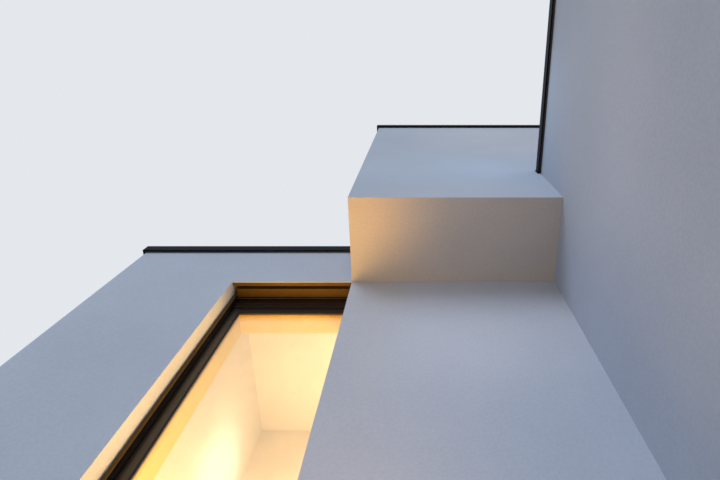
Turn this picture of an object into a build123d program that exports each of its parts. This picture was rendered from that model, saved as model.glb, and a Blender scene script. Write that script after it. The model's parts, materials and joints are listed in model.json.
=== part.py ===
from build123d import *
import os

# A flat-roofed detached house in millimetres: a two-storey main body, a two-storey wing at its
# right that comes forward, and a third storey on top that overhangs the front wall.
# The origin is on the ground at the middle of the plan; -Y is the entrance side.

# Plan
total_width = 10000
main_depth = 7000
wing_projection = 4500
wall_thickness = 400
pier_width = 1085           # front wall, left corner to the tall window
window_width = 1050
bay_wall_width = 1780       # front wall, tall window to the wing
box_overhang = 769          # third storey past the front wall

# Levels
storey_height = 3000
slab_thickness = 270
ground_slab_thickness = 100
roof_buildup = 100          # insulation and gravel on top of the roof slabs
main_parapet_rise = 400     # roof level to the coping's lower edge
wing_parapet_rise = 560
box_parapet_rise = 400

# Copings, folded from sheet
coping_fascia = 110
coping_overhang = 30
coping_sheet = 4

# Tall windows and their raised outside blinds
sill_height = 150           # floor level to the bottom of the opening
frame_setback = 165         # wall face to frame face
frame_depth = 80
frame_width = 35
jamb_cover = 70             # right edge of the front windows' frames, behind the wall beside them
frame_head_extra = 125      # the frame is taller at its head, behind the blind
sash_width = 75
sash_recess = 8
glass_recess = 6            # sash face to the pane
glass_thickness = 24
rail_width = 30
rail_depth = 42
pocket_height = 250
pocket_skin = 8             # render left in front of the blind pocket
trim_depth = 33
trim_height = 40
blind_setback = 71
blind_depth = 80
blind_height = 200
sill_projection = 40
sill_back_height = 30
sill_front_height = 20
sill_lip_drop = 25
sill_lip_thickness = 4

# Entrance door
door_width = 1100
door_height = 2230
door_frame_width = 70
door_leaf_thickness = 70
door_leaf_recess = 10
door_gap = 0.3
handle_length = 1200
handle_diameter = 32
handle_clearance = 50
handle_inset = 110
handle_post_inset = 200

# Partitions seen through the tall window of the first floor
partition_thickness = 120
partition_reveal = 85       # side partition past the window's left jamb
back_partition_distance = 1630   # from the face of the front wall

# Window columns on the sides that repeat the tall window
main_side_columns = 2
rear_columns = 3
right_columns = 4
wing_columns = 2

# Places in the plan
left_x = -total_width / 2
right_x = total_width / 2
rear_y = (main_depth + wing_projection) / 2
wing_front_y = -rear_y
front_y = wing_front_y + wing_projection
box_front_y = front_y - box_overhang
box_left_x = left_x + pier_width + window_width
wing_left_x = box_left_x + bay_wall_width

# Levels worked out from the storeys
first_floor = storey_height
second_floor = 2 * storey_height
box_roof = 3 * storey_height
coping_rise = coping_fascia - coping_sheet
main_wall_top = second_floor + main_parapet_rise + coping_rise
wing_wall_top = second_floor + wing_parapet_rise + coping_rise
box_wall_top = box_roof + box_parapet_rise + coping_rise
box_soffit = second_floor - slab_thickness

# Windows
window_height = storey_height - slab_thickness - sill_height
glass_inset = 2 * (frame_width + sash_width)
glass_height = window_height - glass_inset - frame_head_extra
glass_rise = frame_width + sash_width
door_leaf_width = door_width - 2 * door_frame_width - 2 * door_gap
door_leaf_height = door_height - door_frame_width - 2 * door_gap
door_leaf_setback = frame_setback + door_leaf_recess

# Outer faces of the walls: x runs to the right as seen from outside, y runs up
front_face = Plane(origin=(left_x, front_y, 0), x_dir=(1, 0, 0), z_dir=(0, -1, 0))
wing_front_face = Plane(origin=(wing_left_x, wing_front_y, 0), x_dir=(1, 0, 0), z_dir=(0, -1, 0))
wing_side_face = Plane(origin=(wing_left_x, front_y, 0), x_dir=(0, -1, 0), z_dir=(-1, 0, 0))
box_front_face = Plane(origin=(box_left_x, box_front_y, 0), x_dir=(1, 0, 0), z_dir=(0, -1, 0))
left_face = Plane(origin=(left_x, rear_y, 0), x_dir=(0, -1, 0), z_dir=(-1, 0, 0))
box_side_face = Plane(origin=(box_left_x, rear_y, 0), x_dir=(0, -1, 0), z_dir=(-1, 0, 0))
rear_face = Plane(origin=(right_x, rear_y, 0), x_dir=(-1, 0, 0), z_dir=(0, 1, 0))
right_face = Plane(origin=(right_x, wing_front_y, 0), x_dir=(0, 1, 0), z_dir=(1, 0, 0))


def evenly(length, count):
    return [length * (number + 0.5) / count for number in range(count)]


# Each window is its centre along a wall face and its storey
wing_width = right_x - wing_left_x
total_depth = rear_y - wing_front_y
main_side_spots = evenly(main_depth, main_side_columns)
rear_spots = evenly(total_width, rear_columns)
right_spots = evenly(total_depth, right_columns)
wing_spots = evenly(wing_width, wing_columns)
box_inside_edge = wing_projection - box_overhang + wall_thickness + window_width / 2
box_rear_edge = right_x - box_left_x - wall_thickness - window_width / 2

front_windows = [(pier_width + window_width / 2, storey) for storey in (0, 1)]
wing_front_windows = [(spot, storey) for spot in wing_spots for storey in (0, 1)]
box_front_windows = [(bay_wall_width + spot, 2) for spot in wing_spots]
left_windows = [(spot, storey) for spot in main_side_spots for storey in (0, 1)]
box_side_windows = [(spot, 2) for spot in main_side_spots]
rear_windows = [(spot, storey) for spot in rear_spots for storey in (0, 1)]
rear_windows += [(spot, 2) for spot in rear_spots if spot < box_rear_edge]
right_windows = [(spot, storey) for spot in right_spots for storey in (0, 1)]
right_windows += [(spot, 2) for spot in right_spots if spot > box_inside_edge]

# Each side's walls with their windows, and how far the wall beside them covers the frames
sides = {
    "front": [
        (front_face, front_windows, jamb_cover),
        (wing_front_face, wing_front_windows, 0),
        (box_front_face, box_front_windows, 0),
    ],
    "left": [(left_face, left_windows, 0), (box_side_face, box_side_windows, 0)],
    "rear": [(rear_face, rear_windows, 0)],
    "right": [(right_face, right_windows, 0)],
}

door_spot = pier_width + window_width + bay_wall_width / 2
door_middle = ground_slab_thickness + door_height / 2


def window_base(storey):
    return storey * storey_height + sill_height


def placed_windows(side):
    for face, windows, cover in sides[side]:
        for spot, storey in windows:
            yield face, spot, window_base(storey), cover


def cut_windows(face, windows, cover=0):
    with BuildSketch(face.offset(-frame_setback)) as frame_seats:
        for spot, storey in windows:
            with Locations((spot + cover / 2, window_base(storey) + window_height / 2)):
                Rectangle(window_width + cover, window_height)
    extrude(frame_seats.sketch, amount=frame_setback - wall_thickness, mode=Mode.SUBTRACT)
    with BuildSketch(face) as openings:
        for spot, storey in windows:
            with Locations((spot, window_base(storey) + window_height / 2)):
                Rectangle(window_width, window_height)
    extrude(openings.sketch, amount=-frame_setback, mode=Mode.SUBTRACT)
    with BuildSketch(face.offset(-pocket_skin)) as pockets:
        for spot, storey in windows:
            head = window_base(storey) + window_height
            with Locations((spot, head + pocket_height / 2)):
                Rectangle(window_width, pocket_height)
    extrude(pockets.sketch, amount=pocket_skin - frame_setback, mode=Mode.SUBTRACT)


def outline(*points):
    Polygon(*points, align=None)


def slab(x_low, x_high, y_low, y_high):
    with Locations(((x_low + x_high) / 2, (y_low + y_high) / 2)):
        Rectangle(x_high - x_low, y_high - y_low)


# Walls: the front and rear walls take the corners, the side walls stand between them
with BuildPart() as front_wall:
    with BuildSketch(front_face):
        outline(
            (0, 0),
            (box_left_x - left_x, 0),
            (box_left_x - left_x, main_wall_top),
            (0, main_wall_top),
        )
    extrude(amount=-wall_thickness)
    cut_windows(front_face, front_windows, jamb_cover)
front_wall.part.label = "front_wall"

with BuildPart() as entrance_wall:
    with BuildSketch(front_face):
        outline(
            (box_left_x - left_x, 0),
            (wing_left_x - left_x, 0),
            (wing_left_x - left_x, box_soffit),
            (box_left_x - left_x, box_soffit),
        )
        with Locations((door_spot, door_middle)):
            Rectangle(door_width, door_height, mode=Mode.SUBTRACT)
    extrude(amount=-wall_thickness)
    with BuildSketch(front_face.offset(-frame_setback)):
        for spot, storey in front_windows:
            with Locations((spot + jamb_cover, window_base(storey) + window_height / 2)):
                Rectangle(window_width, window_height)
    extrude(amount=frame_setback - wall_thickness, mode=Mode.SUBTRACT)
entrance_wall.part.label = "entrance_wall"

with BuildPart() as left_wall:
    with BuildSketch(left_face):
        outline(
            (wall_thickness, 0),
            (main_depth - wall_thickness, 0),
            (main_depth - wall_thickness, main_wall_top),
            (wall_thickness, main_wall_top),
        )
    extrude(amount=-wall_thickness)
    cut_windows(left_face, left_windows)
left_wall.part.label = "left_wall"

with BuildPart() as rear_wall:
    with BuildSketch(rear_face):
        outline(
            (0, 0),
            (total_width, 0),
            (total_width, main_wall_top),
            (right_x - box_left_x, main_wall_top),
            (right_x - box_left_x, box_wall_top),
            (0, box_wall_top),
        )
    extrude(amount=-wall_thickness)
    cut_windows(rear_face, rear_windows)
rear_wall.part.label = "rear_wall"

box_front_along = box_front_y - wing_front_y
with BuildPart() as right_wall:
    with BuildSketch(right_face):
        outline(
            (wall_thickness, 0),
            (total_depth - wall_thickness, 0),
            (total_depth - wall_thickness, box_wall_top),
            (box_front_along + wall_thickness, box_wall_top),
            (box_front_along + wall_thickness, second_floor),
            (box_front_along, second_floor),
            (box_front_along, wing_wall_top),
            (wall_thickness, wing_wall_top),
        )
    extrude(amount=-wall_thickness)
    cut_windows(right_face, right_windows)
right_wall.part.label = "right_wall"

with BuildPart() as wing_side_wall:
    with BuildSketch(wing_side_face):
        outline(
            (-wall_thickness, 0),
            (wing_projection - wall_thickness, 0),
            (wing_projection - wall_thickness, wing_wall_top),
            (box_overhang, wing_wall_top),
            (box_overhang, box_soffit),
            (-wall_thickness, box_soffit),
        )
    extrude(amount=-wall_thickness)
wing_side_wall.part.label = "wing_side_wall"

with BuildPart() as wing_front_wall:
    with BuildSketch(wing_front_face):
        outline((0, 0), (wing_width, 0), (wing_width, wing_wall_top), (0, wing_wall_top))
    extrude(amount=-wall_thickness)
    cut_windows(wing_front_face, wing_front_windows)
wing_front_wall.part.label = "wing_front_wall"

with BuildPart() as box_front_wall:
    with BuildSketch(box_front_face):
        outline(
            (0, second_floor),
            (right_x - box_left_x, second_floor),
            (right_x - box_left_x, box_wall_top),
            (0, box_wall_top),
        )
    extrude(amount=-wall_thickness)
    cut_windows(box_front_face, box_front_windows)
box_front_wall.part.label = "box_front_wall"

with BuildPart() as box_side_wall:
    with BuildSketch(box_side_face):
        outline(
            (wall_thickness, second_floor),
            (main_depth + box_overhang - wall_thickness, second_floor),
            (main_depth + box_overhang - wall_thickness, box_wall_top),
            (wall_thickness, box_wall_top),
        )
    extrude(amount=-wall_thickness)
    cut_windows(box_side_face, box_side_windows)
box_side_wall.part.label = "box_side_wall"

# Floors and roofs: each reaches the inner faces of the walls around it
inner_left_x = left_x + wall_thickness
inner_right_x = right_x - wall_thickness
inner_rear_y = rear_y - wall_thickness
inner_front_y = front_y + wall_thickness
wing_inner_left_x = wing_left_x + wall_thickness
wing_inner_front_y = wing_front_y + wall_thickness


def house_floor(bottom, thickness):
    with BuildSketch(Plane.XY.offset(bottom)) as plan:
        slab(inner_left_x, inner_right_x, inner_front_y, inner_rear_y)
        slab(wing_inner_left_x, inner_right_x, wing_inner_front_y, inner_front_y)
    extrude(plan.sketch, amount=thickness)


with BuildPart() as ground_slab:
    house_floor(0, ground_slab_thickness)
ground_slab.part.label = "ground_slab"

with BuildPart() as first_floor_slab:
    house_floor(first_floor - slab_thickness, slab_thickness)
first_floor_slab.part.label = "first_floor_slab"

with BuildPart() as box_floor_slab:
    with BuildSketch(Plane.XY.offset(box_soffit)):
        slab(box_left_x, inner_right_x, box_front_y, inner_rear_y)
    extrude(amount=slab_thickness)
box_floor_slab.part.label = "box_floor_slab"

with BuildPart() as main_roof:
    with BuildSketch(Plane.XY.offset(box_soffit)):
        slab(inner_left_x, box_left_x, inner_front_y, inner_rear_y)
    extrude(amount=slab_thickness + roof_buildup)
main_roof.part.label = "main_roof"

with BuildPart() as wing_roof:
    with BuildSketch(Plane.XY.offset(box_soffit)):
        slab(wing_inner_left_x, inner_right_x, wing_inner_front_y, box_front_y)
    extrude(amount=slab_thickness + roof_buildup)
wing_roof.part.label = "wing_roof"

with BuildPart() as box_roof_deck:
    with BuildSketch(Plane.XY.offset(box_roof - slab_thickness)):
        slab(box_left_x + wall_thickness, inner_right_x, box_front_y + wall_thickness, inner_rear_y)
    extrude(amount=slab_thickness + roof_buildup)
box_roof_deck.part.label = "box_roof"


# Copings: a folded cap over each parapet, cut where it runs into a higher wall
def coping_strip(x_low, x_high, y_low, y_high, outset, inset):
    slab(x_low - outset, x_high + outset, y_low - outset, y_high + outset)
    with Locations(((x_low + x_high) / 2, (y_low + y_high) / 2)):
        Rectangle(
            x_high - x_low + 2 * inset,
            y_high - y_low + 2 * inset,
            mode=Mode.SUBTRACT,
        )


def coping_ring(x_low, x_high, y_low, y_high, wall_top):
    inner_edge = -wall_thickness - coping_overhang
    fascia_bottom = wall_top - coping_rise
    outer_fold = coping_overhang - coping_sheet
    inner_fold = inner_edge + coping_sheet
    with BuildSketch(Plane.XY.offset(wall_top)) as cap:
        coping_strip(x_low, x_high, y_low, y_high, coping_overhang, inner_edge)
    extrude(cap.sketch, amount=coping_sheet)
    with BuildSketch(Plane.XY.offset(fascia_bottom)) as outer_fascia:
        coping_strip(x_low, x_high, y_low, y_high, coping_overhang, outer_fold)
    extrude(outer_fascia.sketch, amount=coping_rise)
    with BuildSketch(Plane.XY.offset(fascia_bottom)) as inner_fascia:
        coping_strip(x_low, x_high, y_low, y_high, inner_fold, inner_edge)
    extrude(inner_fascia.sketch, amount=coping_rise)


with BuildPart() as main_coping:
    coping_ring(left_x, right_x, front_y, rear_y, main_wall_top)
    split(bisect_by=Plane(origin=(box_left_x, 0, 0), z_dir=(-1, 0, 0)), keep=Keep.TOP)
main_coping.part.label = "main_coping"

with BuildPart() as wing_coping:
    coping_ring(wing_left_x, right_x, wing_front_y, rear_y, wing_wall_top)
    split(bisect_by=Plane(origin=(0, box_front_y, 0), z_dir=(0, -1, 0)), keep=Keep.TOP)
wing_coping.part.label = "wing_coping"

with BuildPart() as box_coping:
    coping_ring(box_left_x, right_x, box_front_y, rear_y, box_wall_top)
box_coping.part.label = "box_coping"

# Partitions behind the tall window of the first floor
window_left_x = left_x + pier_width
partition_x = window_left_x + partition_reveal
back_partition_y = front_y + back_partition_distance
partition_height = box_soffit - first_floor
with BuildPart() as inner_side_wall:
    with BuildSketch(Plane.XY.offset(first_floor)):
        slab(partition_x - partition_thickness, partition_x, inner_front_y,
             back_partition_y + partition_thickness)
    extrude(amount=partition_height)
    with BuildSketch(Plane.XY.offset(first_floor + sill_height)):
        slab(window_left_x, partition_x, front_y + frame_setback + frame_depth, inner_front_y)
    extrude(amount=window_height)
inner_side_wall.part.label = "inner_side_wall"

with BuildPart() as inner_back_wall:
    with BuildSketch(Plane.XY.offset(first_floor)):
        slab(partition_x, wing_left_x, back_partition_y, back_partition_y + partition_thickness)
    extrude(amount=partition_height)
inner_back_wall.part.label = "inner_back_wall"

# Entrance door, closed
with BuildPart() as door_frame:
    with BuildSketch(front_face.offset(-frame_setback)):
        with Locations((door_spot, door_middle)):
            Rectangle(door_width, door_height)
        with Locations((door_spot, door_middle - door_frame_width / 2)):
            Rectangle(
                door_width - 2 * door_frame_width,
                door_height - door_frame_width,
                mode=Mode.SUBTRACT,
            )
    extrude(amount=-frame_depth)
door_frame.part.label = "door_frame"

door_leaf_middle = ground_slab_thickness + door_gap + door_leaf_height / 2
with BuildPart() as door_leaf:
    with BuildSketch(front_face.offset(-door_leaf_setback)):
        with Locations((door_spot, door_leaf_middle)):
            Rectangle(door_leaf_width, door_leaf_height)
    extrude(amount=-door_leaf_thickness)
door_leaf.part.label = "door_leaf"

handle_spot = door_spot - door_leaf_width / 2 + handle_inset
handle_offset = handle_clearance + handle_diameter / 2 - door_leaf_setback
handle_level = door_leaf_middle - handle_length / 2
with BuildPart() as door_handle:
    with BuildSketch(Plane.XY.offset(handle_level)):
        with Locations((left_x + handle_spot, front_y - handle_offset)):
            Circle(handle_diameter / 2)
    extrude(amount=handle_length)
    with BuildSketch(front_face.offset(-door_leaf_setback)):
        with Locations(
            (handle_spot, handle_level + handle_post_inset),
            (handle_spot, handle_level + handle_length - handle_post_inset),
        ):
            Circle(handle_diameter / 4)
    extrude(amount=handle_clearance + handle_diameter / 2)
door_handle.part.label = "door_handle"


# Windows: one node of each kind for each side of the house
def window_frames(side):
    with BuildPart() as frames:
        for face, spot, base, cover in placed_windows(side):
            middle = spot + cover / 2
            glass_width = window_width + cover - glass_inset
            with BuildSketch(face.offset(-frame_setback)):
                with Locations((middle, base + window_height / 2)):
                    Rectangle(window_width + cover, window_height)
                with Locations((middle, base + glass_rise + glass_height / 2)):
                    Rectangle(
                        glass_width + 2 * sash_width,
                        glass_height + 2 * sash_width,
                        mode=Mode.SUBTRACT,
                    )
            extrude(amount=-frame_depth)
            with BuildSketch(face.offset(-frame_setback - sash_recess)):
                with Locations((middle, base + glass_rise + glass_height / 2)):
                    Rectangle(glass_width + 2 * sash_width, glass_height + 2 * sash_width)
                    Rectangle(glass_width, glass_height, mode=Mode.SUBTRACT)
            extrude(amount=sash_recess - frame_depth)
    frames.part.label = side + "_window_frames"
    return frames


def window_glass(side):
    glass_setback = frame_setback + sash_recess + glass_recess
    with BuildPart() as glass:
        for face, spot, base, cover in placed_windows(side):
            with BuildSketch(face.offset(-glass_setback)):
                with Locations((spot + cover / 2, base + glass_rise + glass_height / 2)):
                    Rectangle(window_width + cover - glass_inset, glass_height)
            extrude(amount=-glass_thickness)
    glass.part.label = side + "_window_glass"
    return glass


def guide_rails(side):
    rail_height = window_height + pocket_height - sill_back_height
    rail_offset = (window_width - rail_width) / 2
    with BuildPart() as rails:
        for face, spot, base, _ in placed_windows(side):
            with BuildSketch(face.offset(-frame_setback)):
                middle = base + sill_back_height + rail_height / 2
                with Locations((spot - rail_offset, middle), (spot + rail_offset, middle)):
                    Rectangle(rail_width, rail_height)
            extrude(amount=rail_depth)
    rails.part.label = side + "_guide_rails"
    return rails


def raised_blinds(side):
    with BuildPart() as blinds:
        for face, spot, base, _ in placed_windows(side):
            head = base + window_height
            with BuildSketch(face.offset(-blind_setback)):
                with Locations((spot, head + blind_height / 2)):
                    Rectangle(window_width - 2 * rail_width, blind_height)
            extrude(amount=-blind_depth)
            with BuildSketch(face.offset(-pocket_skin)):
                with Locations((spot, head + trim_height / 2)):
                    Rectangle(window_width, trim_height)
            extrude(amount=-trim_depth)
    blinds.part.label = side + "_blinds"
    return blinds


def window_sills(side):
    with BuildPart() as sills:
        for face, spot, base, _ in placed_windows(side):
            corner = face.from_local_coords((spot + window_width / 2, base, 0))
            with BuildSketch(Plane(origin=corner, x_dir=face.z_dir, z_dir=-face.x_dir)):
                outline(
                    (-frame_setback, 0),
                    (sill_projection - sill_lip_thickness, 0),
                    (sill_projection - sill_lip_thickness, -sill_lip_drop),
                    (sill_projection, -sill_lip_drop),
                    (sill_projection, sill_front_height),
                    (-frame_setback, sill_back_height),
                )
            extrude(amount=window_width)
    sills.part.label = side + "_sills"
    return sills


os.makedirs("parts", exist_ok=True)
pieces = [
    front_wall, entrance_wall, left_wall, rear_wall, right_wall,
    wing_side_wall, wing_front_wall, box_front_wall, box_side_wall,
    ground_slab, first_floor_slab, box_floor_slab,
    main_roof, wing_roof, box_roof_deck,
    main_coping, wing_coping, box_coping,
    inner_side_wall, inner_back_wall,
    door_frame, door_leaf, door_handle,
]
for side in sides:
    pieces.append(window_frames(side))
    pieces.append(window_glass(side))
    pieces.append(guide_rails(side))
    pieces.append(raised_blinds(side))
    pieces.append(window_sills(side))
for piece in pieces:
    export_step(piece.part, f"parts/{piece.part.label}.step")
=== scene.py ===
import json
import math

import bmesh
import bpy
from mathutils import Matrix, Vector, noise


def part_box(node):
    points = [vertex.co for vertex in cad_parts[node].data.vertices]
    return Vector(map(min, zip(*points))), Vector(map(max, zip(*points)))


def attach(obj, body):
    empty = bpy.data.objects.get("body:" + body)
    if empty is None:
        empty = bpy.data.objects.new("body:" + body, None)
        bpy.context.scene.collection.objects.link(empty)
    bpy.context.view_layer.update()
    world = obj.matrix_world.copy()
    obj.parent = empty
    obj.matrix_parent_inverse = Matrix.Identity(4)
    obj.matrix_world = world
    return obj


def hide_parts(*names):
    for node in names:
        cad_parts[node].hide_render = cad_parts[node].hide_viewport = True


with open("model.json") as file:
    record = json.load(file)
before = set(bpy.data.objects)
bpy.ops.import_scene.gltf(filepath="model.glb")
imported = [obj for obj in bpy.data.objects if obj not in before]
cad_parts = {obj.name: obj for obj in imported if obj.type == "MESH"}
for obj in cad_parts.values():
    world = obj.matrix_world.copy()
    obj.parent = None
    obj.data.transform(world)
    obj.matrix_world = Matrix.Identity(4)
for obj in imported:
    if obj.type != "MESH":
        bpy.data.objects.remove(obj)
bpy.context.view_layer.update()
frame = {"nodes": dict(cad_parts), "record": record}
nodes = frame["nodes"]

MM = 0.001
ROOT = "root"
OUTWARD = {
    "front": Vector((0, -1, 0)),
    "left": Vector((-1, 0, 0)),
    "rear": Vector((0, 1, 0)),
    "right": Vector((1, 0, 0)),
}
WHITE = (1.0, 1.0, 1.0, 1.0)
BLACK = (0.0, 0.0, 0.0, 1.0)


# Material helpers
def grey(value):
    return (value, value, value, 1.0)


def srgb(red, green, blue):
    """A colour given in 0 to 255 screen values, as the linear colour that a shader takes."""
    def linear(value):
        share = value / 255
        return share / 12.92 if share <= 0.04045 else ((share + 0.055) / 1.055) ** 2.4
    return (linear(red), linear(green), linear(blue), 1.0)


class Finish:
    """One node material: a Principled shader with helpers for the nodes that feed it."""

    def __init__(self, name, roughness=0.5, metallic=0.0):
        self.material = bpy.data.materials.new(name)
        self.material.use_nodes = True
        self.tree = self.material.node_tree
        self.shader = self.tree.nodes["Principled BSDF"]
        self.set("Roughness", roughness)
        self.set("Metallic", metallic)
        self.place = self.node("ShaderNodeTexCoord").outputs["Object"]

    def node(self, kind, **inputs):
        made = self.tree.nodes.new(kind)
        for name, value in inputs.items():
            made.inputs[name].default_value = value
        return made

    def link(self, source, target):
        self.tree.links.new(source, target)

    def feed(self, value, target):
        """Sets an input to a value, or links it to a socket."""
        if isinstance(value, bpy.types.NodeSocket):
            self.link(value, target)
        else:
            target.default_value = value

    def set(self, name, value):
        self.shader.inputs[name].default_value = value

    def stretched(self, x, y, z):
        mapping = self.node("ShaderNodeMapping", Scale=(x, y, z))
        self.link(self.place, mapping.inputs["Vector"])
        return mapping.outputs["Vector"]

    def noise(self, scale, detail=3.0, roughness=0.55, vector=None):
        made = self.node("ShaderNodeTexNoise", Scale=scale, Detail=detail, Roughness=roughness)
        self.link(vector or self.place, made.inputs["Vector"])
        return made.outputs["Fac"]

    def cells(self, scale, output):
        made = self.node("ShaderNodeTexVoronoi", Scale=scale)
        self.link(self.place, made.inputs["Vector"])
        return made.outputs[output]

    def ramp(self, source, *stops):
        made = self.node("ShaderNodeValToRGB")
        made.color_ramp.elements[0].position = stops[0][0]
        made.color_ramp.elements[0].color = stops[0][1]
        made.color_ramp.elements[1].position = stops[-1][0]
        made.color_ramp.elements[1].color = stops[-1][1]
        for position, colour in stops[1:-1]:
            made.color_ramp.elements.new(position).color = colour
        self.link(source, made.inputs["Fac"])
        return made.outputs["Color"]

    def mix(self, share, first, second, blend="MIX"):
        made = self.tree.nodes.new("ShaderNodeMix")
        made.data_type = "RGBA"
        made.blend_type = blend
        factor, colour_a, colour_b, colour_result = 0, 6, 7, 2
        self.feed(share, made.inputs[factor])
        self.feed(first, made.inputs[colour_a])
        self.feed(second, made.inputs[colour_b])
        return made.outputs[colour_result]

    def shaded(self, tone, source, low, high, shade):
        """The tone, darkened by the shade where the source is under low, and plain over high."""
        return self.mix(1.0, tone, self.ramp(source, (low, shade), (high, WHITE)), "MULTIPLY")

    def math(self, operation, first, second):
        made = self.tree.nodes.new("ShaderNodeMath")
        made.operation = operation
        self.feed(first, made.inputs[0])
        self.feed(second, made.inputs[1])
        return made.outputs["Value"]

    def along(self, axis):
        parts = self.node("ShaderNodeSeparateXYZ")
        self.link(self.place, parts.inputs["Vector"])
        return parts.outputs[axis]

    def past(self, x, y):
        """1 where the surface lies to the right of x or behind y, else 0."""
        right = self.math("GREATER_THAN", self.along("X"), x)
        behind = self.math("GREATER_THAN", self.along("Y"), y)
        return self.math("MAXIMUM", right, behind)

    def below(self, z):
        """1 where the surface lies lower than z, else 0."""
        return self.math("LESS_THAN", self.along("Z"), z)

    def colour(self, source):
        self.link(source, self.shader.inputs["Base Color"])

    def rough(self, source, low, high):
        made = self.node("ShaderNodeMapRange")
        made.inputs["To Min"].default_value = low
        made.inputs["To Max"].default_value = high
        self.link(source, made.inputs["Value"])
        self.link(made.outputs["Result"], self.shader.inputs["Roughness"])

    def bump(self, height, distance, strength):
        """Adds relief; a second call lies over the first."""
        made = self.node("ShaderNodeBump", Distance=distance, Strength=strength)
        self.link(height, made.inputs["Height"])
        target = self.shader.inputs["Normal"]
        if target.links:
            self.link(target.links[0].from_socket, made.inputs["Normal"])
        self.link(made.outputs["Normal"], target)


def plaster_finish(name, pale, deep, grain=1.0, zones=()):
    """Fine-grained trowelled render: grains, mottling at a centimetre or two, faint broad clouds.

    Each zone marks a part of the surface, and gives the two colours that it has there."""
    finish = Finish(name, roughness=0.92)
    for mark, zone_pale, zone_deep in zones:
        share = mark(finish)
        pale = finish.mix(share, pale, zone_pale)
        deep = finish.mix(share, deep, zone_deep)
    clouds = finish.noise(0.8, detail=4.0)
    mottle = finish.noise(55.0, detail=4.0, roughness=0.65)
    specks = finish.noise(420.0, detail=2.0, roughness=0.7)
    tone = finish.mix(finish.ramp(clouds, (0.3, BLACK), (0.7, WHITE)), deep, pale)
    tone = finish.shaded(tone, mottle, 0.36, 0.64, grey(0.93))
    finish.colour(finish.shaded(tone, specks, 0.3, 0.6, grey(0.94)))
    finish.bump(finish.noise(2.2, detail=2.0), 4 * MM, 0.35)
    finish.bump(mottle, 1.6 * MM * grain, 0.5)
    finish.bump(specks, 0.8 * MM * grain, 0.6)
    finish.set("Specular IOR Level", 0.25)
    return finish.material


def coated_finish(name, base, dusty, roughness, gloss):
    """Powder-coated sheet: fine orange peel, faint patches of dust and slight streaks."""
    finish = Finish(name, roughness=roughness)
    dust = finish.noise(3.0, detail=5.0)
    streaks = finish.noise(9.0, detail=4.0, vector=finish.stretched(4.0, 4.0, 0.5))
    tone = finish.mix(finish.ramp(dust, (0.35, BLACK), (0.75, WHITE)), base, dusty)
    finish.colour(finish.shaded(tone, streaks, 0.3, 0.7, grey(0.85)))
    finish.rough(dust, roughness - 0.06, roughness + 0.1)
    finish.bump(finish.noise(900.0, detail=2.0), 0.08 * MM, 0.5)
    finish.set("Specular IOR Level", gloss)
    return finish.material


def wood_finish(name, pale, deep):
    """Lacquered light wood with fine grain along the boards."""
    finish = Finish(name, roughness=0.4)
    grain = finish.noise(14.0, detail=6.0, roughness=0.6, vector=finish.stretched(6.0, 6.0, 0.5))
    fibres = finish.noise(220.0, detail=3.0, vector=finish.stretched(4.0, 4.0, 0.2))
    tone = finish.ramp(grain, (0.3, deep), (0.7, pale))
    finish.colour(finish.shaded(tone, fibres, 0.3, 0.7, (0.9, 0.88, 0.84, 1)))
    finish.rough(grain, 0.34, 0.46)
    finish.bump(fibres, 0.1 * MM, 0.4)
    return finish.material


def brushed_finish(name, base, bright):
    """Stainless steel, brushed along its length."""
    finish = Finish(name, roughness=0.3, metallic=1.0)
    strokes = finish.noise(120.0, detail=5.0, vector=finish.stretched(60.0, 60.0, 1.0))
    finish.colour(finish.ramp(strokes, (0.3, base), (0.7, bright)))
    finish.rough(strokes, 0.22, 0.4)
    finish.bump(strokes, 0.05 * MM, 0.4)
    return finish.material


def rubber_finish(name):
    """Black sealing rubber with a fine, dull grain."""
    finish = Finish(name, roughness=0.75)
    grain = finish.noise(300.0, detail=3.0)
    finish.colour(finish.ramp(grain, (0.3, srgb(14, 14, 15)), (0.7, srgb(24, 24, 25))))
    finish.bump(grain, 0.1 * MM, 0.5)
    return finish.material


def glass_finish(name):
    """Clear insulating glass: slight cool tint, faint dust film."""
    finish = Finish(name, roughness=0.0)
    film = finish.noise(6.0, detail=6.0)
    finish.colour(finish.ramp(film, (0.2, (0.93, 0.96, 0.96, 1)), (0.8, (0.98, 0.99, 0.99, 1))))
    finish.rough(film, 0.0, 0.03)
    finish.set("Transmission Weight", 1.0)
    finish.set("IOR", 1.45)
    return finish.material


STONES_PER_METRE = 42.0


def gravel_finish(name):
    """Washed round gravel, 16 to 32 mm, in mixed greys, with painted shade in the gaps between the stones.
    """
    finish = Finish(name, roughness=0.85)
    stones = finish.cells(STONES_PER_METRE, "Color")
    height = finish.cells(STONES_PER_METRE, "Distance")
    tone = finish.ramp(
        stones, (0.0, srgb(112, 110, 108)), (0.35, srgb(150, 147, 141)),
        (0.65, srgb(172, 169, 163)), (1.0, srgb(198, 195, 188)),
    )
    # Painted shade: each stone darker towards its edge, where it meets the gaps
    painted_gap_shade = finish.ramp(height, (0.35, WHITE), (0.8, (0.4, 0.39, 0.38, 1)))
    finish.colour(finish.mix(1.0, tone, painted_gap_shade, "MULTIPLY"))
    finish.bump(finish.ramp(height, (0.0, WHITE), (0.8, BLACK)), 14 * MM, 1.0)
    finish.bump(finish.noise(160.0, detail=4.0), 1.0 * MM, 0.4)
    return finish.material
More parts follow.
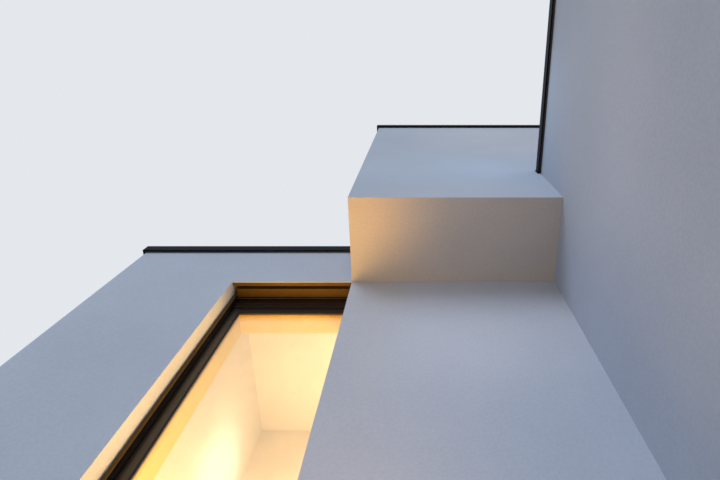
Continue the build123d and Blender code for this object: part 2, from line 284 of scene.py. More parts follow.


# Each finish of the house, with the tones of its surfaces and their roughness
# The render's pale grey: partly its own colour, partly a painted bluish cast of evening skylight
RENDER_PALE = srgb(167, 179, 199)
RENDER_DEEP = srgb(159, 171, 192)
# The underside of the third storey: the same render as the walls, painted greyer and less blue as painted
# shade where the sky does not reach
SHADED_SOFFIT_PALE = srgb(168, 174, 181)
SHADED_SOFFIT_DEEP = srgb(160, 166, 173)
ROOM_PALE = srgb(236, 226, 208)
ROOM_DEEP = srgb(230, 219, 199)
entrance_low, entrance_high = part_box("entrance_wall")
entrance_middle = (entrance_low.y + entrance_high.y) / 2
soffit_low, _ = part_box("box_floor_slab")
INTO_WING_WALL = 200 * MM
wall_finish = plaster_finish("house_render", RENDER_PALE, RENDER_DEEP)
soffit_finish = plaster_finish("soffit_render", RENDER_PALE, RENDER_DEEP, zones=(
    # Below the slab: painted shade, a greyer and less blue copy of the render
    (lambda finish: finish.below(soffit_low.z + MM), SHADED_SOFFIT_PALE, SHADED_SOFFIT_DEEP),
    (lambda finish: finish.past(entrance_high.x + INTO_WING_WALL, entrance_middle), ROOM_PALE, ROOM_DEEP),
))
room_finish = plaster_finish("room_plaster", ROOM_PALE, ROOM_DEEP, grain=0.2)
concrete_finish = plaster_finish("floor_screed", srgb(206, 200, 190), srgb(192, 186, 176), grain=0.4)
gravel = gravel_finish("roof_gravel")
# Dark anthracite coating, with a navy tint that is a painted reflection of the blue sky
coping_metal = coated_finish("coping_metal", srgb(12, 22, 38), srgb(16, 27, 44), roughness=0.42, gloss=0.05)
frame_metal = coated_finish("frame_metal", srgb(17, 15, 14), srgb(22, 19, 17), roughness=0.28, gloss=0.6)
# Golden brown: partly painted warm light from the lit room, on a darker coated metal
blind_metal = coated_finish("blind_metal", srgb(84, 64, 25), srgb(97, 75, 30), roughness=0.4, gloss=0.12)
sill_metal = coated_finish("sill_metal", srgb(30, 33, 38), srgb(38, 41, 46), roughness=0.36, gloss=0.3)
door_metal = coated_finish("door_panel", srgb(34, 36, 40), srgb(42, 44, 48), roughness=0.4, gloss=0.3)
steel = brushed_finish("handle_steel", (0.55, 0.55, 0.56, 1), (0.6325, 0.6325, 0.644, 1))
sealant = plaster_finish("joint_sealant", srgb(58, 55, 53), srgb(48, 46, 44), grain=0.1)
spacer_metal = coated_finish("spacer_metal", srgb(112, 98, 78), srgb(124, 110, 88),
                             roughness=0.35, gloss=0.5)
rubber = rubber_finish("window_gasket")
# Light wood, painted deep yellow: its tone is partly painted golden light from the room lamps
inner_frame = wood_finish("inner_frame", srgb(236, 204, 104), srgb(222, 186, 88))
reveal_wood = wood_finish("reveal_lining", srgb(238, 212, 102), srgb(229, 200, 90))
glass = glass_finish("window_glass")

SLOT_FINISH = {
    "render": wall_finish,
    "soffit_render": soffit_finish,
    "concrete": concrete_finish,
    "roof_gravel": gravel,
    "room_plaster": room_finish,
    "coping_metal": coping_metal,
    "frame_metal": frame_metal,
    "blind_metal": blind_metal,
    "sill_metal": sill_metal,
    "door_panel": door_metal,
    "handle_steel": steel,
    "inner_frame": inner_frame,
    "window_glass": glass,
}


def dress_cad_nodes():
    """Gives each solid its slot's finish. Gravel lies over the roofs, so they show as ceilings only."""
    for row in frame["record"]["subparts"]:
        shown = nodes[row["node"]]
        shown.data.materials.clear()
        is_ceiling = row["material_slot"] == "roof_gravel"
        shown.data.materials.append(room_finish if is_ceiling else SLOT_FINISH[row["material_slot"]])


dress_cad_nodes()


# Mesh helpers
WELD_DIGITS = 5


def islands(node):
    """The loose solids of a CAD node, each as its lowest and highest corner."""
    mesh = nodes[node].data
    parent = list(range(len(mesh.vertices)))

    def top(index):
        while parent[index] != index:
            parent[index] = parent[parent[index]]
            index = parent[index]
        return index

    place_of = {}
    for vertex in mesh.vertices:
        key = tuple(round(value, WELD_DIGITS) for value in vertex.co)
        parent[vertex.index] = place_of.setdefault(key, vertex.index)
    for edge in mesh.edges:
        parent[top(edge.vertices[0])] = top(edge.vertices[1])
    groups = {}
    for vertex in mesh.vertices:
        groups.setdefault(top(vertex.index), []).append(vertex.co)
    boxes = []
    for points in groups.values():
        low = Vector(min(point[axis] for point in points) for axis in range(3))
        high = Vector(max(point[axis] for point in points) for axis in range(3))
        boxes.append((low, high))
    return sorted(boxes, key=lambda box: (box[0].z, box[0].x, box[0].y))


class Piece:
    """A mesh in the making, drawn along x, y and z, or at a window to the right, out and up."""

    def __init__(self, name, finish, slot):
        self.name = name
        self.finish = finish
        self.slot = slot
        self.mesh = bmesh.new()
        self.origin, self.right, self.out = Vector((0, 0, 0)), Vector((1, 0, 0)), Vector((0, 1, 0))

    def stand(self, window):
        self.origin, self.right, self.out = window.origin, window.right, window.out

    def point(self, right, out, up):
        place = self.origin + self.right * right + self.out * out + Vector((0, 0, up))
        return self.mesh.verts.new(place)

    def loft(self, rows, closed_rows=True, closed_loop=False):
        """Skins rows of points. Closed rows are sections; a closed loop joins the last to the first."""
        made = [[self.point(*place) for place in row] for row in rows]
        pairs = list(zip(made, made[1:]))
        if closed_loop:
            pairs.append((made[-1], made[0]))
        for first, second in pairs:
            count = len(first)
            for here in range(count if closed_rows else count - 1):
                there = (here + 1) % count
                self.mesh.faces.new((first[here], first[there], second[there], second[here]))
        if closed_rows and not closed_loop:
            self.mesh.faces.new(list(reversed(made[0])))
            self.mesh.faces.new(made[-1])

    def ring(self, profile, left, right, bottom, top):
        """A mitred ring: each profile point is its inset from the ring's edge and its place outwards."""
        rows = []
        for across, up, turn_x, turn_z in (
            (left, bottom, 1, 1), (right, bottom, -1, 1), (right, top, -1, -1), (left, top, 1, -1)
        ):
            rows.append([(across + turn_x * inset, out, up + turn_z * inset) for inset, out in profile])
        self.loft(rows, closed_loop=True)

    def bar(self, section, left, right):
        """A straight bar along the wall; its section is given as places outwards and up."""
        self.loft([[(left, out, up) for out, up in section], [(right, out, up) for out, up in section]])

    def post(self, section, bottom, top):
        """An upright bar; its section is given as places to the right and outwards."""
        self.loft([[(x, out, bottom) for x, out in section], [(x, out, top) for x, out in section]])

    def block(self, left, right, inner, outer, bottom, top, soft=0.0):
        """A block, with its long edges softened where soft is given."""
        self.bar(soft_rectangle(inner, outer, bottom, top, soft), left, right)

    def done(self, *stands_for, smooth=False):
        """Makes the object, which stands for the named CAD nodes, if any."""
        bmesh.ops.recalc_face_normals(self.mesh, faces=self.mesh.faces)
        data = bpy.data.meshes.new(self.name)
        self.mesh.to_mesh(data)
        self.mesh.free()
        data.materials.append(self.finish)
        for face in data.polygons:
            face.use_smooth = smooth
        made = bpy.data.objects.new(self.name, data)
        bpy.context.scene.collection.objects.link(made)
        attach(made, ROOT)
        if stands_for:
            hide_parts(*stands_for)
        return made


def soft_rectangle(left, right, bottom, top, soft=0.0):
    """The corner points of a rectangle, each corner cut by a small chamfer if soft is given."""
    if soft == 0:
        return [(left, bottom), (right, bottom), (right, top), (left, top)]
    return [
        (left + soft, bottom), (right - soft, bottom), (right, bottom + soft), (right, top - soft),
        (right - soft, top), (left + soft, top), (left, top - soft), (left, bottom + soft),
    ]


# Windows, read from the frames' solids
UP = Vector((0, 0, 1))


class Opening:
    """One window: its frame's outer face, seen from outside, with its origin at the lower left."""

    def __init__(self, side, frame_box, glass_box, rail_boxes):
        self.out = OUTWARD[side]
        self.right = UP.cross(self.out)
        low, high = frame_box
        corners = [Vector((x, y, low.z)) for x in (low.x, high.x) for y in (low.y, high.y)]
        self.origin = max(corners, key=lambda corner: corner.dot(self.out) - corner.dot(self.right))
        self.width = abs((high - low).dot(self.right))
        self.height = high.z - low.z
        self.depth = abs((high - low).dot(self.out))
        self.glass = self.local(glass_box)
        self.rails = sorted((self.local(box) for box in rail_boxes), key=lambda box: box[0].x)

    def local(self, box):
        """A box of the frame in this window's directions: right, outwards, up."""
        ends = [
            Vector(((corner - self.origin).dot(self.right), (corner - self.origin).dot(self.out),
                    corner.z - self.origin.z))
            for corner in box
        ]
        low = Vector(min(end[axis] for end in ends) for axis in range(3))
        high = Vector(max(end[axis] for end in ends) for axis in range(3))
        return low, high


def near(first, second, reach=0.2):
    """True if the second box lies within the first, widened a little."""
    middle = (second[0] + second[1]) / 2
    return all(first[0][axis] - reach <= middle[axis] <= first[1][axis] + reach for axis in range(3))


def openings(side):
    """The windows in one side of the house."""
    frames = islands(side + "_window_frames")
    panes = islands(side + "_window_glass")
    rails = islands(side + "_guide_rails")
    for frame_box in frames:
        pane = next(box for box in panes if near(frame_box, box))
        beside = [box for box in rails if near(frame_box, box)]
        yield Opening(side, frame_box, pane, beside)


SIDE_OPENINGS = {side: list(openings(side)) for side in OUTWARD}

# Frame profile, in metres: width of the fixed frame and the sash, the sash's step back,
# the dark outer shell before the wooden inner profile, and the plain extension over the frame
FIXED_WIDTH = 35 * MM
SASH_WIDTH = 75 * MM
SASH_STEP = 8 * MM
SHADOW_GAP_WIDTH = 3 * MM
SHADOW_GAP_DEPTH = 10 * MM
SHELL_DEPTH = 38.5 * MM
EXTENSION = 125 * MM
EXTENSION_JOINT = 96 * MM
EXTENSION_STEP = 4 * MM
INNER_BEAD = 12 * MM
INNER_STEP = 2 * MM
INNER_ROUND = 5 * MM
GASKET_WIDTH = 9 * MM
GASKET_HEIGHT = 4.5 * MM
GASKET_TOP = 3 * MM
GASKET_TIP = 1.5 * MM
GASKET_PLAY = 0.2 * MM
SPACER_WIDTH = 11 * MM
PANE_THICKNESS = 4 * MM
PANE_PLAY = 0.5 * MM
EDGE = 2 * MM

# Linings behind the frames, in metres
WALL_BEHIND_FRAME = 235 * MM
LINING_STEP = 10 * MM
LINING_ROUND = 20 * MM
WINDOW_BOARD = 20 * MM
BOARD_OVERHANG = 12 * MM
BOARD_EDGE = 1.5 * MM
PARTITION_REACH = 30 * MM


def shell_profile():
    """Fixed frame, shadow gap and sash, as inset from the frame's edge and place outwards."""
    gap = FIXED_WIDTH + SHADOW_GAP_WIDTH
    glass_edge = FIXED_WIDTH + SASH_WIDTH
    return [
        (0, -SHELL_DEPTH),
        (0, -EDGE),
        (EDGE, 0),
        (FIXED_WIDTH - MM, 0),
        (FIXED_WIDTH, -MM),
        (FIXED_WIDTH, -SASH_STEP - SHADOW_GAP_DEPTH),
        (gap, -SASH_STEP - SHADOW_GAP_DEPTH),
        (gap, -SASH_STEP - MM),
        (gap + MM, -SASH_STEP),
        (glass_edge - EDGE, -SASH_STEP),
        (glass_edge, -SASH_STEP - EDGE),
        (glass_edge, -SHELL_DEPTH),
    ]


def inner_profile(depth):
    """The room side of the frame: a bead at the pane, a small step and a rounded edge."""
    front = -SHELL_DEPTH - PANE_PLAY
    glass_edge = FIXED_WIDTH + SASH_WIDTH
    return [
        (0, front),
        (glass_edge, front),
        (glass_edge, front - INNER_BEAD),
        (glass_edge - INNER_STEP, front - INNER_BEAD - INNER_STEP),
        (glass_edge - INNER_STEP, -depth + INNER_ROUND),
        (glass_edge - INNER_STEP - INNER_ROUND, -depth),
        (0, -depth),
    ]


def window_frames(side):
    shells = Piece(side + "_frame_shells", frame_metal, "frame_metal")
    linings = Piece(side + "_inner_frames", inner_frame, "inner_frame")
    for window in SIDE_OPENINGS[side]:
        shells.stand(window)
        frame_top = window.height - EXTENSION
        shells.ring(shell_profile(), 0, window.width, 0, frame_top)
        joint = window.height - EXTENSION_JOINT
        shells.block(0, window.width, -window.depth, -EXTENSION_STEP, frame_top + MM, joint - MM, MM)
        shells.block(0, window.width, -window.depth, 0, joint, window.height, MM)
        linings.stand(window)
        linings.ring(inner_profile(window.depth), 0, window.width, 0, frame_top)
    shells.done(side + "_window_frames")
    linings.done(side + "_window_frames")


def window_panes(side):
    """Two panes with a metal spacer between them, sealed to the sash by a black gasket."""
    panes = Piece(side + "_panes", glass, "window_glass")
    spacers = Piece(side + "_glass_spacers", spacer_metal, "frame_metal")
    gaskets = Piece(side + "_gaskets", rubber, "frame_metal")
    for window in SIDE_OPENINGS[side]:
        low, high = window.glass
        left, right = low.x + PANE_PLAY, high.x - PANE_PLAY
        bottom, top = low.z + PANE_PLAY, high.z - PANE_PLAY
        panes.stand(window)
        panes.block(left, right, low.y, low.y + PANE_THICKNESS, bottom, top)
        panes.block(left, right, high.y - PANE_THICKNESS, high.y, bottom, top)
        inner = low.y + PANE_THICKNESS + PANE_PLAY
        outer = high.y - PANE_THICKNESS - PANE_PLAY
        spacers.stand(window)
        spacers.ring([(0, inner), (0, outer), (SPACER_WIDTH, outer), (SPACER_WIDTH, inner)],
                     left, right, bottom, top)
        face = high.y + GASKET_PLAY
        lip = [(0, face), (0, face + GASKET_HEIGHT), (GASKET_TOP, face + GASKET_HEIGHT),
               (GASKET_WIDTH, face + GASKET_TIP), (GASKET_WIDTH, face)]
        gaskets.stand(window)
        gaskets.ring(lip, left, right, bottom, top)
    panes.done(side + "_window_glass").visible_shadow = False
    spacers.done()
    gaskets.done()


def guide_rails(side):
    """Upright channels, open towards the slats, with a black inlay that quietens them."""
    rails = Piece(side + "_rail_profiles", blind_metal, "blind_metal")
    inlays = Piece(side + "_rail_inlays", rubber, "blind_metal")
    sheet, inlay, play, rim_step = 3 * MM, 3 * MM, 0.3 * MM, 2 * MM
    leg_step, hook_depth = 12 * MM, 16 * MM
    groove_width, groove_depth = 6 * MM, 12 * MM
    for window in SIDE_OPENINGS[side]:
        rails.stand(window)
        inlays.stand(window)
        for (low, high), turn in zip((window.rails[0], window.rails[-1]), (1, -1)):
            jamb, edge = (low.x, high.x) if turn == 1 else (high.x, low.x)
            back = jamb + turn * sheet
            leg = edge - turn * leg_step
            groove = jamb + turn * groove_width
            section = [
                (jamb, low.y), (leg, low.y), (leg, low.y + sheet), (back, low.y + sheet),
                (back, high.y - hook_depth), (edge, high.y - sheet), (edge, high.y - MM),
                (edge - turn * MM, high.y), (groove, high.y), (groove, high.y - groove_depth),
                (jamb, high.y - groove_depth),
            ]
            rails.post(section, low.z, high.z)
            rim = edge - turn * rim_step
            first, last = low.y + sheet + play, high.y - sheet - play
            bed = back + turn * play
            face = bed + turn * inlay
            channel = [
                (bed, first), (rim, first), (rim, first + inlay), (face, first + 2 * inlay),
                (face, last - 2 * inlay), (rim, last - inlay), (rim, last), (bed, last),
            ]
            inlays.post(channel, low.z + rim_step, high.z - rim_step)
    rails.done(side + "_guide_rails")
    inlays.done()


def inner_reveals(side):
    """Wooden linings between the frame and the room: head, both sides and a window board."""
    piece = Piece(side + "_reveal_linings", reveal_wood, "inner_frame")
    for window in SIDE_OPENINGS[side]:
        behind, room_face = -window.depth - MM, -WALL_BEHIND_FRAME
        clear = FIXED_WIDTH + SASH_WIDTH - LINING_STEP
        head = window.height - EXTENSION - clear
        piece.stand(window)
        rounded = [
            (room_face, head + LINING_ROUND), (room_face + LINING_ROUND / 3, head + LINING_ROUND / 3),
            (room_face + LINING_ROUND, head),
        ]
        piece.bar(rounded + soft_rectangle(room_face, behind, head, window.height - MM)[1:],
                  MM, window.width - MM)
        left = side_wall_edge(window)
        for jamb, face in ((left, clear), (window.width - MM, window.width - clear)):
            board = [(jamb, room_face), (jamb, behind), (face, behind), (face, room_face)]
            piece.post(board, WINDOW_BOARD, head - MM)
        piece.block(MM, window.width - MM, room_face - BOARD_OVERHANG, behind, MM, WINDOW_BOARD - MM,
                    BOARD_EDGE)
    piece.done()


def side_wall_edge(window):
    """Where a lining starts at the left: at the opening's edge, or at the partition that stands in it."""
    low, high = window.local(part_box("inner_side_wall"))
    beside = low.x < 0 < high.x < window.width / 2 and low.z < window.height / 2 < high.z
    touches = abs(high.y + window.depth) < PARTITION_REACH
    return high.x + MM if beside and touches else MM


def pocket_linings(side):
    """Folded sheet at the back and top of each blind pocket."""
    piece = Piece(side + "_pocket_linings", blind_metal, "blind_metal")
    sheet, back, reach = 2 * MM, 0.5 * MM, 120 * MM
    for window in SIDE_OPENINGS[side]:
        left, right = window.rails[0][1].x + MM, window.rails[-1][0].x - MM
        head = window.height + MM
        top = window.rails[0][1].z - MM
        piece.stand(window)
        fold = [(back, head), (back, top), (reach, top), (reach, top - sheet),
                (back + sheet, top - sheet), (back + sheet, head)]
        piece.bar(fold, left, right)
    piece.done()


def blinds(side):
    """Raised slats over their bottom rail, and the folded trim at the front of the pocket."""
    slats = Piece(side + "_blind_slats", blind_metal, "blind_metal")
    trims = Piece(side + "_pocket_trims", blind_metal, "blind_metal")
    solids = islands(side + "_blinds")
    rail_height, rail_edge = 16 * MM, 3 * MM
    pitch, camber, leaf, side_play = 5 * MM, 2.2 * MM, 0.6 * MM, 4 * MM
    sheet, hem = 2 * MM, 12 * MM
    for window in SIDE_OPENINGS[side]:
        own = [window.local(box) for box in solids]
        head = (0, 0, window.height), (window.width, 0, window.height)
        stack, trim = sorted((box for box in own if near(head, box, 0.3)), key=lambda box: box[0].y)
        low, high = stack
        slats.stand(window)
        rail_top = low.z + rail_height
        slats.bar(soft_rectangle(low.y, high.y, low.z, rail_top, rail_edge), low.x, high.x)
        middle = (low.y + high.y) / 2
        up = rail_top + rail_edge
        while up < high.z - pitch:
            arch = [
                (low.y + MM, up), (middle, up + camber), (high.y - MM, up),
                (high.y - MM, up + leaf), (middle, up + camber + leaf), (low.y + MM, up + leaf),
            ]
            slats.bar(arch, low.x + side_play, high.x - side_play)
            up += pitch
        low, high = trim
        trims.stand(window)
        fold = [
            (low.y, low.z + hem), (low.y, low.z), (high.y, low.z), (high.y, high.z),
            (high.y - sheet, high.z), (high.y - sheet, low.z + sheet), (low.y + sheet, low.z + sheet),
            (low.y + sheet, low.z + hem),
        ]
        trims.bar(fold, low.x, high.x)
    slats.done(side + "_blinds")
    trims.done(side + "_blinds")


def sills(side):
    """Folded sheet sills with a drip nose and upstands at both ends."""
    piece = Piece(side + "_sill_sheets", sill_metal, "sill_metal")
    solids = islands(side + "_sills")
    sheet, fall, nose, overhang = 2 * MM, 10 * MM, 2 * MM, 40 * MM
    end_sheet, end_height, bed_depth = 3 * MM, 12 * MM, 4 * MM
    for window in SIDE_OPENINGS[side]:
        own = [window.local(box) for box in solids]
        low, high = next(box for box in own if near(((0, 0, 0), (window.width, 0, 0)), box, 0.3))
        piece.stand(window)
        back_top, front_top = high.z, high.z - fall
        fold = [
            (low.y, back_top), (high.y - nose, front_top), (high.y, front_top - nose), (high.y, low.z),
            (high.y - sheet, low.z), (high.y - sheet, front_top - nose - MM), (low.y, back_top - sheet),
        ]
        piece.bar(fold, low.x, high.x)
        wall_face = high.y - overhang
        rail_face = window.rails[0][1].y + MM
        for edge, turn in ((low.x, 1), (high.x, -1)):
            inside = edge + turn * end_sheet
            upstand = [(edge, rail_face), (inside, rail_face), (inside, wall_face), (edge, wall_face)]
            piece.post(upstand, front_top - bed_depth, back_top + end_height)
        piece.bar(soft_rectangle(low.y, wall_face - sheet, 0, front_top - bed_depth), low.x, high.x)
    piece.done(side + "_sills")


for side_name in OUTWARD:
    for build in (window_frames, window_panes, guide_rails, pocket_linings, inner_reveals, blinds, sills):
        build(side_name)


# Copings: folded caps in lengths, mitred at the corners, over their own joint plates
WALL_THICKNESS = 400 * MM
COPING_OVERHANG = 30 * MM
COPING_WIDTH = WALL_THICKNESS + 2 * COPING_OVERHANG
COPING_SHEET = 2 * MM
COPING_HEM = 9 * MM
COPING_CREASE = 1.2 * MM
COPING_FOLD = 2 * MM
COPING_CORNER = 3 * MM
COPING_LENGTH = 2.6
COPING_JOINT = 4 * MM
PLATE_REACH = 70 * MM
PLATE_INSET = 3 * MM
PLATE_FOOT = 12 * MM
END_PLATE_RIM = 6 * MM
END_PLATE_DROP = 3 * MM
END_PLATE_LEG = 20 * MM
END_PLATE_SHEET = 4 * MM


def both_edges(half):
    """A line of points from the outer face, and the same line mirrored at the inner face."""
    return half + [(COPING_WIDTH - across, up) for across, up in reversed(half)]


def cap_section(top):
    """The folded cap across its width, outside and then inside, with its upper face at the top."""
    crease, fold, corner, sheet = COPING_CREASE, COPING_FOLD, COPING_CORNER, COPING_SHEET
    outside = both_edges([
        (0, 0), (0, COPING_HEM), (crease, COPING_HEM + fold), (crease, top - corner), (crease + corner, top),
    ])
    inside = both_edges([
        (sheet, 0), (sheet + crease, COPING_HEM), (sheet + crease, top - sheet - fold),
        (sheet + 2 * fold, top - sheet),
    ])
    return outside + inside[::-1]


def joint_plate_section(top):
    """The thin plate under the joint of two caps."""
    outside = both_edges([(PLATE_INSET, PLATE_FOOT), (PLATE_INSET, top - PLATE_INSET)])
    inside = both_edges([(PLATE_INSET + MM, PLATE_FOOT), (PLATE_INSET + MM, top - PLATE_INSET - MM)])
    return outside + inside[::-1]


def end_plate_section(top):
    """The raised plate that closes the end of a coping at a wall."""
    outside = both_edges([(-END_PLATE_RIM, -END_PLATE_DROP), (-END_PLATE_RIM, top + 2 * END_PLATE_RIM)])
    inside = both_edges([(END_PLATE_LEG, -END_PLATE_DROP), (END_PLATE_LEG, top)])
    return outside + inside[::-1]


# The bead of sealant under a coping's outer edge, as places inwards and up
SEAL_BEAD = [(29 * MM, 2 * MM), (29 * MM, 14 * MM), (16 * MM, 11 * MM), (14 * MM, 5 * MM)]


def coping(node, corners, closed):
    """Caps along a path of outer corners, walked so that the house lies on the left."""
    low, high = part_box(node)
    top = high.z - low.z
    section = cap_section(top)
    caps = Piece(node + "_caps", coping_metal, "coping_metal")
    plates = Piece(node + "_joint_plates", coping_metal, "coping_metal")
    seals = Piece(node + "_seals", sealant, "coping_metal")
    runs = list(zip(corners, corners[1:] + corners[:1]))[:len(corners) if closed else -1]
    for number, (start, end) in enumerate(runs):
        along = (end - start).normalized()
        inward = UP.cross(along)
        length = (end - start).length
        mitre_start = closed or number > 0
        mitre_end = closed or number < len(runs) - 1
        pieces = max(1, round(length / COPING_LENGTH))

        def row(distance, mitre, outline):
            places = []
            for across, up in outline:
                spot = start + along * (distance + across * mitre) + inward * across
                places.append((spot.x, spot.y, low.z + up))
            return places

        for part in range(pieces):
            first = length * part / pieces + (COPING_JOINT / 2 if part else 0)
            last = length * (part + 1) / pieces - (COPING_JOINT / 2 if part < pieces - 1 else 0)
            lean_first = int(part == 0 and mitre_start)
            lean_last = -int(part == pieces - 1 and mitre_end)
            caps.loft([row(first, lean_first, section), row(last, lean_last, section)])
            if part:
                middle = length * part / pieces
                plates.loft([row(middle + reach, 0, joint_plate_section(top))
                             for reach in (-PLATE_REACH, PLATE_REACH)])
        if not mitre_start or not mitre_end:
            edge, turn = (length, -1) if mitre_start else (0, 1)
            plates.loft([row(edge + turn * inset, 0, end_plate_section(top))
                         for inset in (MM, MM + END_PLATE_SHEET)])
        seals.loft([row(0, int(mitre_start), SEAL_BEAD), row(length, -int(mitre_end), SEAL_BEAD)])
    caps.done(node)
    plates.done()
    seals.done()


def coping_corners(node):
    """The corners in the plan, from the front right one, with the house on the left."""
    low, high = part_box(node)
    return [Vector((high.x, low.y, 0)), Vector((high.x, high.y, 0)),
            Vector((low.x, high.y, 0)), Vector((low.x, low.y, 0))]


coping("box_coping", coping_corners("box_coping"), True)
main_path = coping_corners("main_coping")
coping("main_coping", main_path[1:] + main_path[:1], False)
wing_path = coping_corners("wing_coping")
coping("wing_coping", wing_path[2:] + wing_path[:2], False)


# Gravel: an uneven bed over each roof, closed by a low skirt along the walls
GRAVEL_DEPTH = 18 * MM
GRAVEL_STEP = 60 * MM
LUMP_HEIGHT = 6 * MM
LUMPS_PER_METRE = 9
SWELL_HEIGHT = 8 * MM


def gravel_level(x, y):
    """The height of the gravel over the roof: small lumps on a slow swell."""
    lumps = noise.noise(Vector((x * LUMPS_PER_METRE, y * LUMPS_PER_METRE, 0))) * LUMP_HEIGHT
    return GRAVEL_DEPTH + (lumps + noise.noise(Vector((x, y, 3))) * SWELL_HEIGHT)


def gravel_bed(node):
    """Rows of points over a roof, and a skirt at each of its edges."""
    low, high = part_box(node)
    bed = Piece(node + "_gravel", gravel, "roof_gravel")
    edge = 2 * MM
    across = round((high.x - low.x) / GRAVEL_STEP)
    along = round((high.y - low.y) / GRAVEL_STEP)
    rows = []
    for number in range(across + 1):
        x = low.x + edge + (high.x - low.x - 2 * edge) * number / across
        row = []
        for other in range(along + 1):
            y = low.y + edge + (high.y - low.y - 2 * edge) * other / along
            row.append((x, y, high.z + gravel_level(x, y)))
        rows.append(row)
    bed.loft(rows, closed_rows=False)
    rim_low = high.z + MM
    skirts = [rows[0], rows[-1], [row[0] for row in rows], [row[-1] for row in rows]]
    for line in skirts:
        bed.loft([line, [(x, y, rim_low) for x, y, _ in line]], closed_rows=False)
    bed.done(smooth=True)


for roof in ("main_roof", "wing_roof", "box_roof"):
    gravel_bed(roof)


# Entrance door, each piece seen from outside with its origin at the lower left of its solid
DOOR_FRAME_WIDTH = 70 * MM
BOARDS = 5
BOARD_GROOVE = 5 * MM
LOCK_X = 62 * MM
LOCK_HEIGHT = 1.02
ROSE_RADIUS = 26 * MM
ROSE_DEPTH = 6 * MM
CYLINDER_RADIUS = 9 * MM
CYLINDER_DEPTH = 2 * MM
HINGE_FROM_END = 220 * MM
HINGE_REACH = 50 * MM
HINGE_INSET = 2 * MM
HINGE_OUT = 5 * MM
HINGE_RADIUS_ACROSS = 9 * MM
HINGE_RADIUS_OUT = 4.5 * MM
HANDLE_POST_FROM_END = 200 * MM
HANDLE_POST_RADIUS = 8 * MM
HANDLE_FOOT_RADIUS = 16 * MM
HANDLE_FOOT_DEPTH = 6 * MM
SEAL_LIP = 4 * MM


def door_piece(name, node, finish, slot):
    """A piece that stands at a solid of the door, and that solid's size: x across, y deep, z up."""
    low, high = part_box(node)
    piece = Piece(name, finish, slot)
    piece.origin, piece.out = Vector((low.x, low.y, low.z)), OUTWARD["front"]
    return piece, high - low


def circle(count, radius):
    """Points on a circle, as places to either side of its centre."""
    turns = [2 * math.pi * number / count for number in range(count)]
    return [(radius * math.cos(turn), radius * math.sin(turn)) for turn in turns]


def turned(piece, x, up, steps, count):
    """A turned part that points outwards; each step is its place outwards and its radius."""
    piece.loft([[(x + across, place, up + rise) for across, rise in circle(count, radius)]
                for place, radius in steps])


def disc(piece, radius, inner, outer):
    """A flat disc at the lock, with its outer edge softened."""
    shoulder = outer - (outer - inner) / 3
    turned(piece, LOCK_X, LOCK_HEIGHT, [(inner, radius), (shoulder, radius), (outer, radius * 0.9)], 32)


def door_frame():
    """A frame of two legs and a head, open at the floor, mitred at its upper corners."""
    piece, size = door_piece("door_frame_profile", "door_frame", frame_metal, "frame_metal")
    leg = DOOR_FRAME_WIDTH
    profile = [(0, -size.y), (0, -EDGE), (EDGE, 0), (leg - EDGE, 0), (leg, -EDGE), (leg, -size.y)]
    rows = []
    for x, turn in ((0, 1), (size.x, -1)):
        foot = [(x + turn * inset, place, 0) for inset, place in profile]
        head = [(x + turn * inset, place, size.z - inset) for inset, place in profile]
        rows.extend([foot, head] if turn == 1 else [head, foot])
    piece.loft(rows)
    piece.done("door_frame")


def door_leaf():
    """The leaf, of flush boards with a groove between them."""
    piece, size = door_piece("door_leaf_panel", "door_leaf", door_metal, "door_panel")
    groove = BOARD_GROOVE
    section = [(-size.y, 0), (-size.y, size.z), (0, size.z)]
    for number in range(BOARDS - 1, 0, -1):
        up = size.z / BOARDS * number
        section += [(0, up + groove), (-groove, up + groove / 2),
                    (-groove, up - groove / 2), (0, up - groove)]
    section.append((0, 0))
    piece.bar(section, 0, size.x)
    piece.done("door_leaf")


def door_fittings():
    """The lock's rose and cylinder, and three hinges, each of two knuckles."""
    piece, size = door_piece("door_fittings", "door_leaf", steel, "handle_steel")
    disc(piece, ROSE_RADIUS, 0, ROSE_DEPTH)
    disc(piece, CYLINDER_RADIUS, ROSE_DEPTH, ROSE_DEPTH + CYLINDER_DEPTH)
    squash = HINGE_RADIUS_OUT / HINGE_RADIUS_ACROSS
    pin = [(size.x - HINGE_INSET + across, HINGE_OUT + squash * out)
           for across, out in circle(16, HINGE_RADIUS_ACROSS)]
    for up in (HINGE_FROM_END, size.z / 2, size.z - HINGE_FROM_END):
        piece.post(pin, up - HINGE_REACH, up - MM)
        piece.post(pin, up + MM, up + HINGE_REACH)
    piece.done()


def door_handle():
    """A round bar with softened ends on two turned posts."""
    piece, size = door_piece("door_handle_bar", "door_handle", steel, "handle_steel")
    radius, length = size.x / 2, size.z
    ends = ((0, 0.86), (1.5 * MM, 0.96), (4 * MM, 1.0))
    steps = list(ends) + [(length - up, share) for up, share in reversed(ends)]
    piece.loft([[(radius + across, out - radius, up) for across, out in circle(40, radius * share)]
                for up, share in steps])
    foot, post, base = -size.y, HANDLE_POST_RADIUS, HANDLE_FOOT_RADIUS
    post_steps = [(-radius * 1.5, post), (foot + HANDLE_FOOT_DEPTH + MM, post),
                  (foot + HANDLE_FOOT_DEPTH, base - MM), (foot, base)]
    for up in (HANDLE_POST_FROM_END, length - HANDLE_POST_FROM_END):
        turned(piece, radius, up, post_steps, 28)
    piece.done("door_handle")


def door_seals():
    """Rubber lips over the leaf's upright edges."""
    piece, size = door_piece("door_seals", "door_leaf", rubber, "door_panel")
    lip = SEAL_LIP
    for left, right in ((0, lip), (size.x - lip, size.x)):
        piece.post([(left, 0), (left, lip), (right, lip), (right, 0)], 2 * MM, size.z - 2 * MM)
    piece.done()


for build in (door_frame, door_leaf, door_fittings, door_handle, door_seals):
    build()


